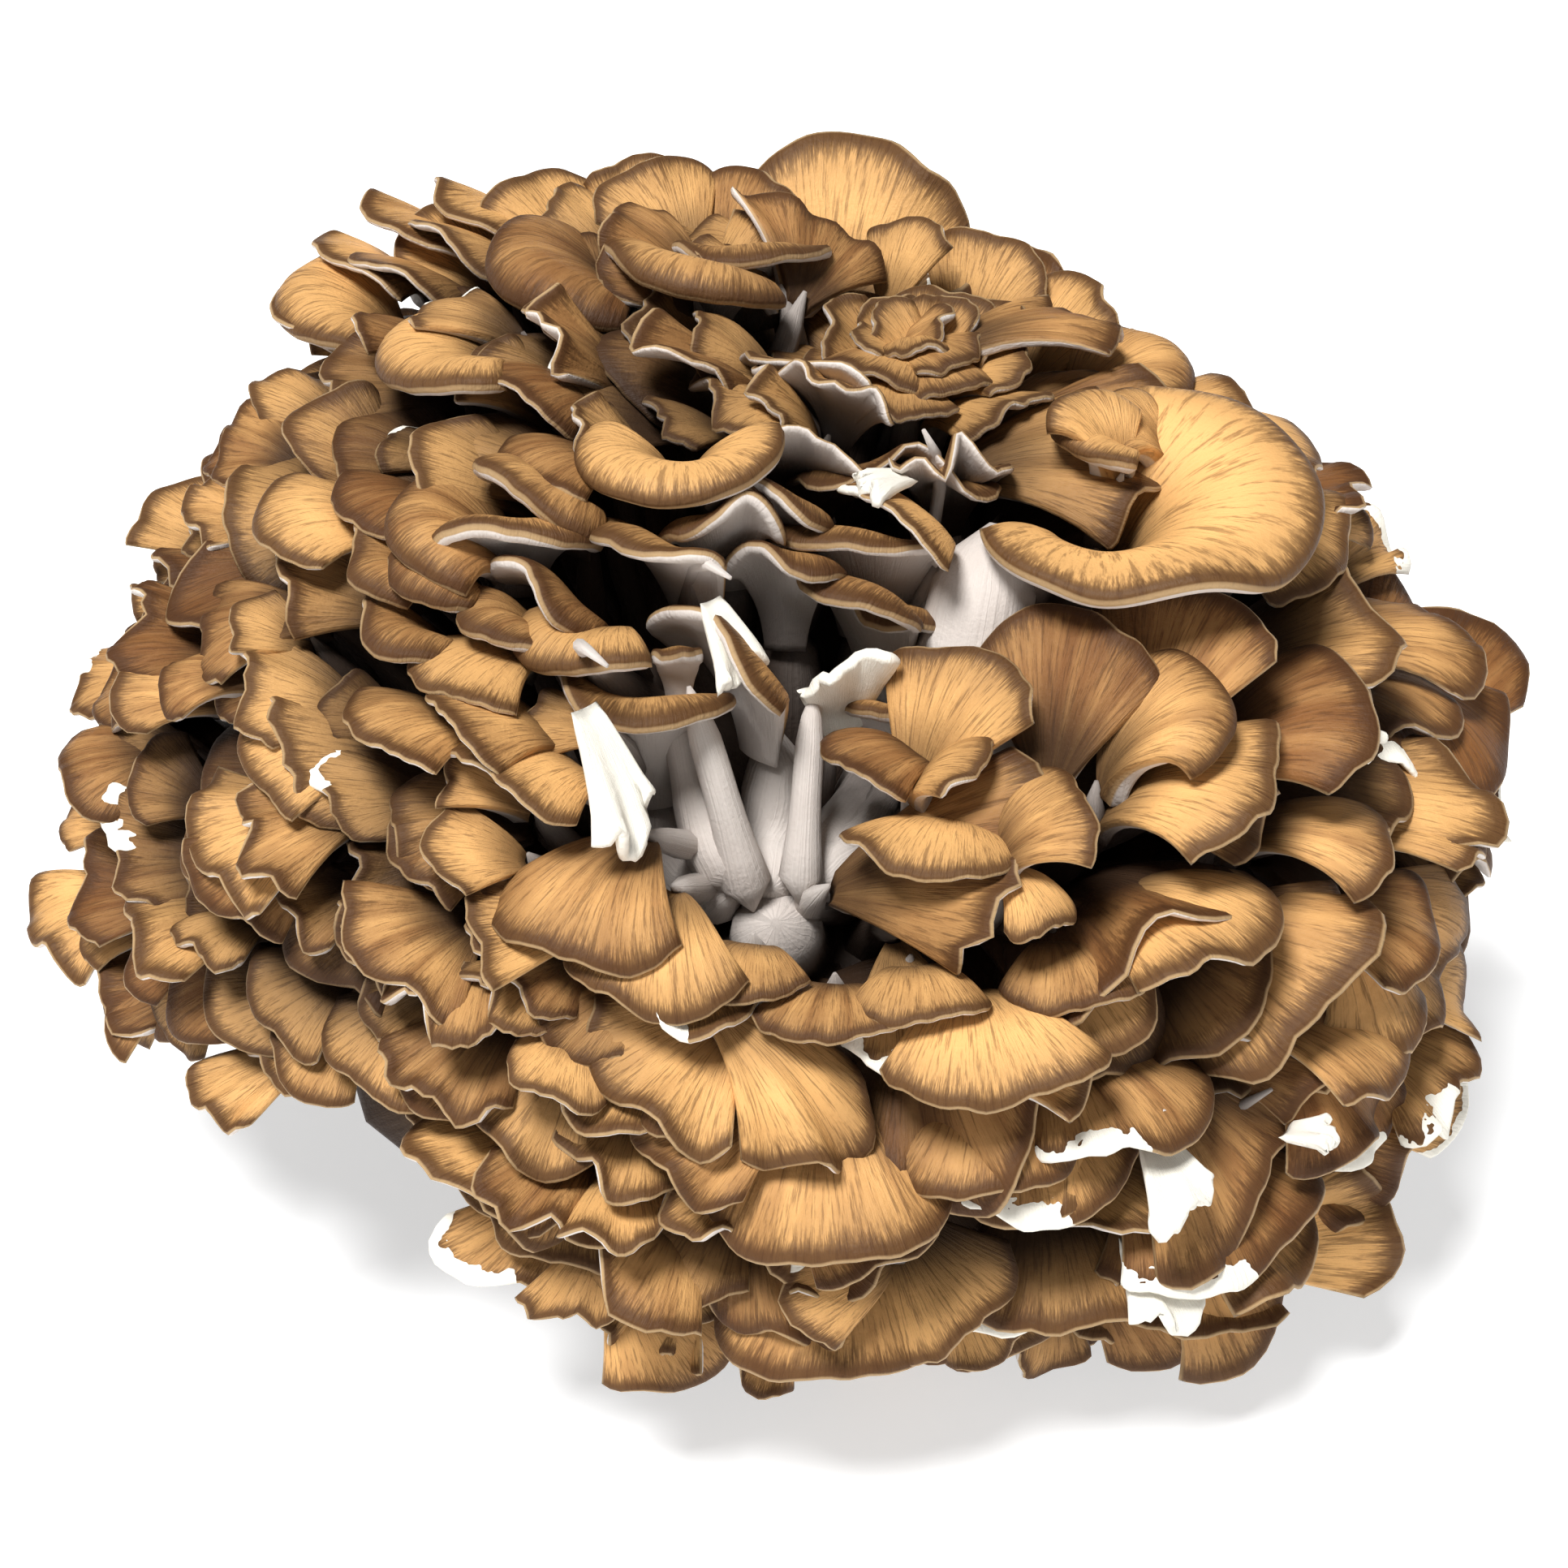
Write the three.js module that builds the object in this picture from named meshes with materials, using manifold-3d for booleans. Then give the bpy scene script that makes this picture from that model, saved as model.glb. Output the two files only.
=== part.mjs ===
// Maitake mushroom (hen of the woods), one picked cluster standing on its cut stem.
// Millimetres, +Z up, the viewer's side faces -Y. The origin is the middle of the
// bounding box's underside.
//
// A thick stem divides into primary branches. Each branch carries a spray of flat,
// fan-shaped fronds that overlap like shingles and turn away from two rosette centres.
// Each spray is one closed solid, because its fronds are fused where they divide.

import * as THREE from 'three';
import { mergeVertices } from 'three/addons/utils/BufferGeometryUtils.js';
import Module from 'manifold-3d';

const wasm = await Module();
wasm.setup();

// ---- Driving dimensions ----

// The cluster's outside follows an egg shape around this centre.
const CENTRE = new THREE.Vector3(0, 0, 92);
const HALF_WIDTH = 176;
const HALF_DEPTH = 152;
const HEIGHT_ABOVE = 147;
const HEIGHT_BELOW = 116;

// Two places where the fronds part and turn away from each other.
const ROSETTES = [
  { place: new THREE.Vector3(-3, -118, 186), reach: 60 },
  { place: new THREE.Vector3(29, 25, 226), reach: 80 },
];
const DROOP = 0.45;
const FAR_PULL = 0.15;
const NEAR_PULL = 2;

const FROND_COUNT = 128;
const FROND_LENGTH = 68;
const FROND_WIDTH = 66;
const FROND_THICKNESS = 7;
const FROND_SAG = 7;
const FROND_LIFT = 6;
const STANDING_LIFT = 52;
const STANDING_REACH = 34;
const ROOT_DEPTH = 34;
const ROOT_SHARE = 0.6;
const FROND_TWIST = 0.35;
// The lowest fronds point this far down: the sine of their elevation.
const LOWEST_RISE = -0.6;

const STEM_RADIUS = 56;
const STEM_HEIGHT = 128;
const BRANCH_ROOT_RADIUS = 25;
const BRANCH_TIP_RADIUS = 17;
const BRANCH_START = 0.1;
const BRANCH_END = 0.56;
const HUB_PLACE = 0.5;
const JOINT_GAP = 0.4;
const MERGE_DISTANCE = 1e-4;

// Each spray's name, its azimuth from +X and its elevation, both in degrees.
const SPRAYS = [
  ['spray_left_low', 214, 8],
  ['spray_left', 192, 27],
  ['spray_left_top', 166, 50],
  ['spray_mid_left', 236, 33],
  ['spray_crown_left', 232, 64],
  ['spray_crown', 100, 68],
  ['spray_crown_right', -18, 56],
  ['spray_right_top', 8, 28],
  ['spray_right', -28, 14],
  ['spray_right_low', -54, -8],
  ['spray_mid_right', -60, 34],
  ['spray_centre', 266, 42],
  ['spray_front_low', 272, -12],
  ['spray_front_left', 246, 2],
  ['spray_front', 278, 14],
  ['spray_back_right', 48, 22],
  ['spray_back', 92, 20],
  ['spray_back_left', 138, 18],
];

// Lowest elevation in degrees that the fronds reach, all round, from these azimuths.
const SKIRT = [
  [-90, -40],
  [0, -26],
  [90, -22],
  [180, -12],
  [270, -40],
];

const FLESH = { roughness: 0.85, metalness: 0 };
const STEM_COLOUR = 0xcfc0ae;
const FROND_COLOURS = [0xb98b5c, 0xa67a4e, 0xc79c6c, 0x94693f];

// ---- Helpers ----

function direction(azimuth, elevation) {
  const turn = THREE.MathUtils.degToRad(azimuth);
  const rise = THREE.MathUtils.degToRad(elevation);
  return new THREE.Vector3(
    Math.cos(rise) * Math.cos(turn),
    Math.cos(rise) * Math.sin(turn),
    Math.sin(rise),
  );
}

// A repeatable number from 0 to 1 for each index and purpose.
function chance(index, purpose) {
  const wave = Math.sin(index * 12.9898 + purpose * 78.233) * 43758.5453;
  return wave - Math.floor(wave);
}

function skirtElevation(azimuth) {
  const turned = THREE.MathUtils.euclideanModulo(azimuth + 90, 360) - 90;
  const next = SKIRT.findIndex(([from]) => from > turned);
  const [fromAzimuth, fromElevation] = SKIRT[next - 1];
  const [toAzimuth, toElevation] = SKIRT[next];
  const share = (turned - fromAzimuth) / (toAzimuth - fromAzimuth);
  return THREE.MathUtils.lerp(fromElevation, toElevation, share);
}

function halfHeight(way) {
  return way.z > 0 ? HEIGHT_ABOVE : HEIGHT_BELOW;
}

// Distance from the centre to the egg's surface along a unit direction.
function reachAlong(way) {
  const scaled = new THREE.Vector3(
    way.x / HALF_WIDTH,
    way.y / HALF_DEPTH,
    way.z / halfHeight(way),
  );
  return 1 / scaled.length();
}

function surfaceNormal(way) {
  return new THREE.Vector3(
    way.x / HALF_WIDTH ** 2,
    way.y / HALF_DEPTH ** 2,
    way.z / halfHeight(way) ** 2,
  ).normalize();
}

// The fronds point away from the rosette centres, nearer ones first, and droop.
function flowAt(point, normal) {
  const flow = new THREE.Vector3(0, 0, -DROOP);
  for (const { place, reach } of ROSETTES) {
    const away = point.clone().sub(place);
    const pull = Math.exp(-away.length() / reach);
    flow.addScaledVector(away.normalize(), FAR_PULL + NEAR_PULL * pull);
  }
  return flow.addScaledVector(normal, -flow.dot(normal)).normalize();
}

// Young fronds close to a rosette centre stand up instead of lying flat.
function standingAt(point) {
  const distances = ROSETTES.map(({ place }) => place.distanceTo(point));
  return STANDING_LIFT * Math.exp(-Math.min(...distances) / STANDING_REACH);
}

function toSolid(geometry) {
  const plain = geometry.clone();
  plain.deleteAttribute('normal');
  plain.deleteAttribute('uv');
  const merged = mergeVertices(plain, MERGE_DISTANCE);
  const mesh = new wasm.Mesh({
    numProp: 3,
    vertProperties: merged.attributes.position.array,
    triVerts: new Uint32Array(merged.index.array),
  });
  return new wasm.Manifold(mesh);
}

function toGeometry(solid) {
  const mesh = solid.getMesh();
  const geometry = new THREE.BufferGeometry();
  geometry.setAttribute('position', new THREE.BufferAttribute(mesh.vertProperties, 3));
  geometry.setIndex(new THREE.BufferAttribute(mesh.triVerts, 1));
  geometry.computeVertexNormals();
  return geometry;
}

function largestPiece(solid) {
  const pieces = solid.decompose();
  return pieces.reduce((best, piece) => (piece.volume() > best.volume() ? piece : best));
}

// Joins a row of rings of equal length into one closed skin with a fan at each end.
function loft(rings) {
  const sides = rings[0].length;
  const points = rings.flat();
  const index = [];
  for (let ring = 0; ring + 1 < rings.length; ring += 1) {
    for (let side = 0; side < sides; side += 1) {
      const here = ring * sides + side;
      const beside = ring * sides + ((side + 1) % sides);
      index.push(here, here + sides, beside, beside, here + sides, beside + sides);
    }
  }
  const last = (rings.length - 1) * sides;
  for (let side = 1; side + 1 < sides; side += 1) {
    index.push(0, side, side + 1, last, last + side + 1, last + side);
  }
  const geometry = new THREE.BufferGeometry().setFromPoints(points);
  geometry.setIndex(index);
  return geometry;
}

// ---- Stem ----

// The trunk's outline from its flat cut foot to its rounded, hidden top, turned about Z.
function stemGeometry(extra) {
  const outline = [
    [0, 0],
    [0.88, 0],
    [0.98, 0.05],
    [0.9, 0.25],
    [0.86, 0.45],
    [0.98, 0.66],
    [0.86, 0.84],
    [0.5, 0.96],
    [0, 1],
  ].map(([wide, high]) => new THREE.Vector2(wide * STEM_RADIUS, high * STEM_HEIGHT));
  const geometry = new THREE.LatheGeometry(outline, 28);
  geometry.rotateX(Math.PI / 2);
  const spot = geometry.attributes.position;
  for (let i = 0; i < spot.count; i += 1) {
    const turn = Math.atan2(spot.getY(i), spot.getX(i));
    const radius = Math.hypot(spot.getX(i), spot.getY(i));
    const lobes = 1 + 0.07 * Math.sin(5 * turn + 0.6) + 0.04 * Math.sin(3 * turn + 2);
    const scale = radius > 0.01 ? lobes + extra / radius : 1;
    spot.setXY(i, spot.getX(i) * scale, spot.getY(i) * scale);
  }
  return geometry;
}

// ---- Fronds ----

// Share of the way along the frond, width and thickness as shares of the blade's.
const FROND_PROFILE = [
  { along: 0, wide: 0.24, thick: 1.9 },
  { along: 0.5, wide: 0.3, thick: 1.5 },
  { along: 0.74, wide: 0.84, thick: 1.1 },
  { along: 0.92, wide: 1, thick: 0.8 },
  { along: 1, wide: 0.62, thick: 0.5 },
];
const SECTION_SIDES = 6;

// One ring across a frond: a flat oval, arched so that its edges hang down.
function frondSection(middle, across, up, width, thickness, sag) {
  const ring = [];
  for (let side = 0; side < SECTION_SIDES; side += 1) {
    const angle = (side / SECTION_SIDES) * 2 * Math.PI;
    const out = Math.cos(angle);
    const point = middle.clone();
    point.addScaledVector(across, (out * width) / 2);
    point.addScaledVector(up, (Math.sin(angle) * thickness) / 2 - sag * out * out);
    ring.push(point);
  }
  return ring;
}

// A frond leaves its branch's end, turns up under the frond above and opens into a fan.
function frondGeometry(index, hub, way) {
  const size = 0.82 + 0.36 * chance(index, 1);
  const depth = 0.94 + 0.08 * chance(index, 2);
  const normal = surfaceNormal(way);
  const point = CENTRE.clone().addScaledVector(way, reachAlong(way) * depth);
  const flow = flowAt(point, normal);
  flow.applyAxisAngle(normal, FROND_TWIST * (2 * chance(index, 3) - 1));
  const across = new THREE.Vector3().crossVectors(flow, normal);
  const length = FROND_LENGTH * size;
  const root = point.clone().addScaledVector(flow, -ROOT_SHARE * length);
  root.addScaledVector(normal, -ROOT_DEPTH);
  const tip = point.clone().addScaledVector(flow, (1 - ROOT_SHARE) * length);
  const lift = FROND_LIFT * (2 * chance(index, 4) - 0.6) + standingAt(point);
  tip.addScaledVector(normal, lift);
  const spine = new THREE.QuadraticBezierCurve3(hub, root, tip);
  const width = FROND_WIDTH * size;
  const rings = FROND_PROFILE.map(({ along, wide, thick }) => {
    const middle = spine.getPoint(along);
    const up = new THREE.Vector3().crossVectors(across, spine.getTangent(along));
    const sag = FROND_SAG * wide;
    return frondSection(middle, across, up, wide * width, thick * FROND_THICKNESS, sag);
  });
  return loft(rings);
}

// Directions spread evenly over the egg, down to the skirt.
function frondDirections() {
  const goldenAngle = 180 * (3 - Math.sqrt(5));
  const ways = [];
  for (let index = 0; index < FROND_COUNT; index += 1) {
    const rise = 1 - (1 - LOWEST_RISE) * ((index + 0.5) / FROND_COUNT);
    const elevation = THREE.MathUtils.radToDeg(Math.asin(rise));
    const azimuth = (index * goldenAngle) % 360;
    if (elevation > skirtElevation(azimuth)) {
      ways.push(direction(azimuth, elevation));
    }
  }
  return ways;
}

// ---- Sprays ----

function branchGeometry(way) {
  const length = reachAlong(way);
  const from = length * BRANCH_START;
  const to = length * BRANCH_END;
  const geometry = new THREE.CylinderGeometry(
    BRANCH_TIP_RADIUS,
    BRANCH_ROOT_RADIUS,
    to - from,
    10,
    1,
  );
  geometry.translate(0, (from + to) / 2, 0);
  const turn = new THREE.Quaternion().setFromUnitVectors(new THREE.Vector3(0, 1, 0), way);
  geometry.applyQuaternion(turn);
  geometry.translate(CENTRE.x, CENTRE.y, CENTRE.z);
  return geometry;
}

// Keeps the part of a solid that is nearer to this spray's direction than to any other's.
function keepOwnSpace(solid, way, others) {
  let kept = solid;
  for (const other of others) {
    const wall = way.clone().sub(other).normalize();
    kept = kept.trimByPlane(wall.toArray(), wall.dot(CENTRE) + JOINT_GAP / 2);
  }
  return kept.trimByPlane([0, 0, 1], 0);
}

function sprayGeometry(way, others, fronds, fatStem) {
  const hub = CENTRE.clone().addScaledVector(way, reachAlong(way) * HUB_PLACE);
  let solid = toSolid(branchGeometry(way));
  for (const [index, frondWay] of fronds) {
    solid = solid.add(toSolid(frondGeometry(index, hub, frondWay)));
  }
  const cut = keepOwnSpace(solid, way, others).subtract(fatStem);
  return toGeometry(largestPiece(cut));
}

// ---- The cluster ----

const cluster = new THREE.Group();

const stem = new THREE.Mesh(
  toGeometry(toSolid(stemGeometry(0))),
  new THREE.MeshStandardMaterial({ color: STEM_COLOUR, ...FLESH }),
);
stem.name = 'stem_base';
cluster.add(stem);

const sprayWays = SPRAYS.map(([, azimuth, elevation]) => direction(azimuth, elevation));
const frondsBySpray = SPRAYS.map(() => []);
frondDirections().forEach((way, index) => {
  const nearness = sprayWays.map((sprayWay) => sprayWay.dot(way));
  frondsBySpray[nearness.indexOf(Math.max(...nearness))].push([index, way]);
});

const fatStem = toSolid(stemGeometry(JOINT_GAP));
SPRAYS.forEach(([name], number) => {
  const way = sprayWays[number];
  const others = sprayWays.filter((other) => other !== way);
  const colour = FROND_COLOURS[number % FROND_COLOURS.length];
  const spray = new THREE.Mesh(
    sprayGeometry(way, others, frondsBySpray[number], fatStem),
    new THREE.MeshStandardMaterial({ color: colour, ...FLESH }),
  );
  spray.name = name;
  cluster.add(spray);
});

// The box's middle goes over the origin and its underside to z = 0.
const box = new THREE.Box3().setFromObject(cluster);
const middle = box.getCenter(new THREE.Vector3());
for (const part of cluster.children) {
  part.position.set(-middle.x, -middle.y, -box.min.z);
}

export default cluster;
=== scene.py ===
"""Maitake mushroom: a cluster of wavy, fan-shaped fronds on branches from one thick stem.

Every frond is a sector of a flaring funnel, worked out as whole arrays. Sprays of fronds
stand for the spray solids of the frame, and ride on its one body.
"""

import math
from dataclasses import dataclass, replace

import bpy
import numpy as np
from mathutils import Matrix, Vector


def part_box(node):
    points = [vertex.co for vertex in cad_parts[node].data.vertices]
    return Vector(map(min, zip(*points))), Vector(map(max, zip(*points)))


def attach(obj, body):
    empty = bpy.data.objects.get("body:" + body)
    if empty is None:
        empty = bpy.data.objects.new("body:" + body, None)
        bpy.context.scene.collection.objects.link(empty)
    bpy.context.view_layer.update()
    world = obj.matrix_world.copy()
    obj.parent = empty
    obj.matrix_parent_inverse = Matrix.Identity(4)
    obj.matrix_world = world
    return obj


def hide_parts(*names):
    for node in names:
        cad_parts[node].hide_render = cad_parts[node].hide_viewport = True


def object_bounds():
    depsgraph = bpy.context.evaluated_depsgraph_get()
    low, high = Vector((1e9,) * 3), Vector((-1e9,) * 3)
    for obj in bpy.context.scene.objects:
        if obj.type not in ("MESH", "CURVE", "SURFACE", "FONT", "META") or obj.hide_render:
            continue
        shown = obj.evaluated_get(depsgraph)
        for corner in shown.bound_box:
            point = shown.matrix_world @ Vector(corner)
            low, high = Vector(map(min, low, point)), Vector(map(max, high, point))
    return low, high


bl_info = {
    "name": "Maitake Mushroom",
    "version": (1, 0, 0),
    "blender": (4, 5, 0),
    "location": "3D View > Sidebar > Maitake",
    "description": "Builds a maitake cluster frond by frond around its frame",
    "category": "Add Mesh",
}

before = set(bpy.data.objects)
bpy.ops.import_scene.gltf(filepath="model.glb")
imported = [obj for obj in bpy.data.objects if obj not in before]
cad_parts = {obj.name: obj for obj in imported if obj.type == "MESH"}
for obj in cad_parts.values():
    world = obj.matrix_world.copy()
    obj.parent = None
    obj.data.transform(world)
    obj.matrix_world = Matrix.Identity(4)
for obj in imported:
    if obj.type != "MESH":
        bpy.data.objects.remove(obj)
CAD_LOW, CAD_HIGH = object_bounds()

BAKE_MAP = "OFBake"
BODY = "root"
STEM_NODE = "stem_base"
PIT_NODE = "spray_centre"
SPRAY_NODES = sorted(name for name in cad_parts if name.startswith("spray_"))

# ---------------------------------------------------------------- the egg

BOX_LOW = np.array(CAD_LOW)
BOX_HIGH = np.array(CAD_HIGH)
BOX_SIZE = BOX_HIGH - BOX_LOW
UP = np.array((0.0, 0.0, 1.0))

# The egg is widest at this share of the box's height. Its skin lies inside the box, because
# the fronds stand out from it, and its lower end reaches past the floor.
EGG_LEVEL = 0.35
EGG_CENTRE = BOX_LOW + BOX_SIZE * (0.5, 0.5, EGG_LEVEL)
EGG_ABOVE = BOX_SIZE[2] * (1 - EGG_LEVEL) - 0.020
EGG_BELOW = BOX_SIZE[2] * EGG_LEVEL + 0.022
EGG_WIDE = BOX_SIZE[0] / 2 - 0.006
EGG_DEEP = BOX_SIZE[1] / 2 - 0.008

# Open places between the fronds, and the foot of the pit in the front one: shares of the
# half box from the egg's centre.
FRONT_ROSETTE = EGG_CENTRE + BOX_SIZE / 2 * (-0.01, -0.74, 0.72)
TOP_ROSETTE = EGG_CENTRE + BOX_SIZE / 2 * (0.17, 0.10, 1.10)
VALLEY = EGG_CENTRE + BOX_SIZE / 2 * (0.20, -0.46, 0.88)
PIT_FOOT = EGG_CENTRE + BOX_SIZE / 2 * (-0.02, -0.60, 0.44)

# Radii within which no field frond lies.
OPEN_PLACES = ((FRONT_ROSETTE, 0.046), (TOP_ROSETTE, 0.038), (VALLEY, 0.040))

# Fronds lean away from both rosettes, each up to about so far off.
ROSETTE_REACHES = ((FRONT_ROSETTE, 0.075), (TOP_ROSETTE, 0.080))

# Lowest elevation of the outer fronds, in degrees, at these azimuths.
SKIRT_AZIMUTHS = (-180, -160, -140, -129, -122, -112, -100, -88, -70, -48, -38, -25, 0, 90, 180)
SKIRT_ELEVATIONS = (-5, -3, 0, 8, -7, -15, -26, -34, -36, -36, -23, -14, -9, -22, -8)

# Swellings (above 0) and hollows (below 0) of the egg: azimuth, elevation and width in
# degrees, and height as a share of the egg's reach.
SWELLINGS = (
    (-50, -30, 16, 0.08),
    (-82, -44, 22, -0.12),
    (-50, -52, 18, -0.08),
    (-93, 41, 12, -0.20),
    (-68, 54, 12, -0.17),
    (-128, -6, 13, -0.14),
    (95, 62, 26, 0.04),
    (138, 52, 30, 0.13),
    (-170, 22, 18, 0.04),
    (-112, 58, 12, 0.02),
)


def unit(vector):
    """The vector made 1 long."""
    return vector / np.linalg.norm(vector)


def smooth(low, high, value):
    """0 below low, 1 above high, and a cubic ease between them."""
    share = np.clip((value - low) / (high - low), 0, 1)
    return share * share * (3 - 2 * share)


def direction(azimuth, elevation):
    """Unit vector at an azimuth, 0 to the right and 90 away, and an elevation, in degrees."""
    turn = math.radians(azimuth)
    rise = math.radians(elevation)
    level = math.cos(rise)
    return np.array((level * math.cos(turn), level * math.sin(turn), math.sin(rise)))


def egg_radii(way):
    """Half width, half depth and height of the egg on the side of its centre that each unit
    direction is on, above or below."""
    high = np.where(way[..., 2] > 0, EGG_ABOVE, EGG_BELOW)
    return np.stack((np.full_like(high, EGG_WIDE), np.full_like(high, EGG_DEEP), high), axis=-1)


def egg_reach(way):
    """Distance from the egg's centre to its skin along unit directions: the plain egg's,
    times one plus a bell curve of the angle from each swelling."""
    share = 1.0
    for azimuth, elevation, width, height in SWELLINGS:
        angle = np.degrees(np.arccos(np.clip(way @ direction(azimuth, elevation), -1, 1)))
        share = share + height * np.exp(-((angle / width) ** 2))
    return share / np.linalg.norm(way / egg_radii(way), axis=-1)


def egg_spot(azimuth, elevation, out):
    """The point out times as far from the egg's centre as its skin, and the plain egg's
    outward normal there."""
    way = direction(azimuth, elevation)
    return EGG_CENTRE + way * egg_reach(way) * out, unit(way / egg_radii(way) ** 2)


# ---------------------------------------------------------------- one frond

ROUNDED_END = 0.05  # share of the length that is rounded, at the rim and at the root
ROUNDED_SIDE = 0.08  # share of the half width that is rounded, at either side


@dataclass
class Frond:
    """One frond: a sector of a funnel that flares from a stalk to a wavy rim."""

    length: float = 0.048  # along the blade, stalk to rim
    spread: float = 95.0  # degrees of the funnel that the blade takes up
    stalk: float = 0.0035  # how far the root lies from the funnel's axis
    start: float = 8.0  # degrees from the axis at the root
    flare: float = 78.0  # degrees from the axis near the rim
    roll: float = 25.0  # further turn of the rim, down if above 0
    ripple: float = 6.0  # degrees of waviness at the rim
    waves: float = 3.0  # half waves across the blade
    lobes: float = 0.05  # uneven length, as a share
    crinkle: float = 1.0  # small teeth of the rim
    corner: float = 0.17  # how much shorter the two sides are
    skew: float = 0.0  # how much longer the side at the greater azimuth is
    cup: float = 0.35  # 1 where the blade is part of a cone, 0 where it is a flat fan
    root_thick: float = 0.0060
    rim_thick: float = 0.0020
    phase: float = 0.0  # shifts its waves, lobes and crinkles
    tone: float = 0.5  # 0 dark brown, 1 golden
    torn: float = 0.0  # 1 if part of it shows torn white flesh, 2 if all of it does
    hold: float = 0.72  # share of the way along that is put on its place
    by_axis: bool = False  # puts the funnel's axis, not the blade, on its place
    clear: float = 0.32  # room kept free in front of it, as a share of its length
    neck: float = 0.0036  # radius of its stalk where the blade begins
    pit: bool = False  # its stalk rises from the foot of the front pit
    shade: float = 1.0  # how much painted shade its depth adds
    rows: int = 14  # faces along it
    columns: int = 24  # points across it, less two


def along_steps(count):
    """Steps from 0 to 1, count + 1 of them, that crowd towards the rounded rim."""
    return np.concatenate((np.linspace(0, 0.93, count - 2), (0.965, 0.99, 1.0)))


def across_steps(count):
    """Steps from -1 to 1, count + 2 of them, that crowd towards both rounded edges."""
    straight = 1 - ROUNDED_SIDE
    inner = np.linspace(-straight, straight, count - 2)
    return np.concatenate(((-1.0, -0.97), inner, (0.97, 1.0)))


def frond_surface(frond):
    """Middle surface of a frond, in its own frame: x the way it faces, z the funnel's axis.

    Strips leave the root at angles up to half the spread either side of the facing. The
    blade's angle from the axis grows along it, from start to flare, and each strip bends
    further down by roll, waves and crinkles near its rim. A strip's direction is a mix of
    that on a cone round the axis and that on a flat fan. The blade's outline, which is
    shorter at its sides and uneven, scales the steps, and adding them up gives the points.
    """
    along = along_steps(frond.rows)
    across = across_steps(frond.columns)
    u, v = np.meshgrid(along, across, indexing="ij")
    phase = frond.phase
    wave = np.sin(frond.waves * v * math.pi / 2 + phase)
    wave += 0.5 * np.sin(1.7 * frond.waves * v * math.pi / 2 + 2.3 * phase)
    crinkle = np.sin(8.3 * v + 3 * phase) + 0.8 * np.sin(13.7 * v + 5 * phase)
    crinkle += 0.9 * np.sin(21.0 * v + 7 * phase) * np.sin(5.1 * v + 2 * phase)
    crinkle *= frond.crinkle
    outline = (1 - frond.corner * np.abs(v) ** 3.2) * (1 + frond.skew * v)
    outline += frond.lobes * (np.sin(2.1 * v + 1.9 * phase) + 0.6 * np.sin(5.3 * v + phase))
    outline += 0.015 * crinkle * smooth(0.5, 1, u)
    angle = np.radians(frond.start + (frond.flare - frond.start) * smooth(0.0, 0.85, u) ** 0.85)
    bend = frond.roll * smooth(0.70, 1.0, u) * (1 + 0.35 * np.sin(2.6 * v + phase))
    bend += frond.ripple * wave * u**2.2 * 1.6 + 2.2 * crinkle * smooth(0.75, 1, u)
    bend = np.radians(bend)
    turn = np.radians(frond.spread / 2) * v + 0.10 * math.sin(5 * phase) * u
    level = np.sin(angle + bend)
    cone = (level * np.cos(turn), level * np.sin(turn), np.cos(angle + bend))
    flat = (
        np.cos(bend) * np.cos(turn) * np.sin(angle) + np.sin(bend) * np.cos(angle),
        np.cos(bend) * np.sin(turn),
        np.cos(bend) * np.cos(turn) * np.cos(angle) - np.sin(bend) * np.sin(angle),
    )
    way = frond.cup * np.stack(cone, axis=-1) + (1 - frond.cup) * np.stack(flat, axis=-1)
    step = np.diff(along, prepend=0)[:, None] * frond.length * outline
    middle = np.cumsum(way * step[..., None], axis=0)
    root = np.stack((np.cos(turn) - 1, np.sin(turn), 0 * turn), axis=-1)
    return u, v, middle + frond.stalk * root


def surface_normals(points):
    """Cross product of the two grid directions at each point, made unit length."""
    down = np.gradient(points, axis=0)
    side = np.gradient(points, axis=1)
    normal = np.cross(down, side)
    return normal / (np.linalg.norm(normal, axis=-1, keepdims=True) + 1e-12)


def frond_sheets(frond):
    """Top and bottom sheets, half the thickness either side of the middle surface.

    The thickness falls to nothing along a quarter circle at the rim, sides and root, so
    that the two sheets meet there.
    """
    u, v, middle = frond_surface(frond)
    normal = surface_normals(middle)
    thick = frond.root_thick + (frond.rim_thick - frond.root_thick) * u**0.6
    rim_edge = np.clip((u - (1 - ROUNDED_END)) / ROUNDED_END, 0, 1)
    side_edge = np.clip((np.abs(v) - (1 - ROUNDED_SIDE)) / ROUNDED_SIDE, 0, 1)
    root_edge = np.clip((ROUNDED_END - u) / ROUNDED_END, 0, 1)
    edge = np.ones_like(u)
    for share in (rim_edge, side_edge, root_edge):
        edge *= np.sqrt(1 - share**2)
    offset = normal * (thick * edge / 2)[..., None]
    return u, v, middle + offset, middle - offset


# ---------------------------------------------------------------- placing fronds


@dataclass
class Placed:
    """A frond with its place: where its blade's middle lies and how it is turned."""

    frond: Frond
    point: np.ndarray
    axis: np.ndarray
    facing: np.ndarray

    def frame(self):
        """Matrix whose columns are the frond's own x, y and z."""
        return np.stack((self.facing, np.cross(self.axis, self.facing), self.axis), axis=1)


def place_on_skin(frond, point, axis, facing):
    """Turns a frond's axis to a way, and its facing as near to another as that allows."""
    axis = unit(axis)
    return Placed(frond, point, axis, unit(facing - axis * (facing @ axis)))


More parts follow.
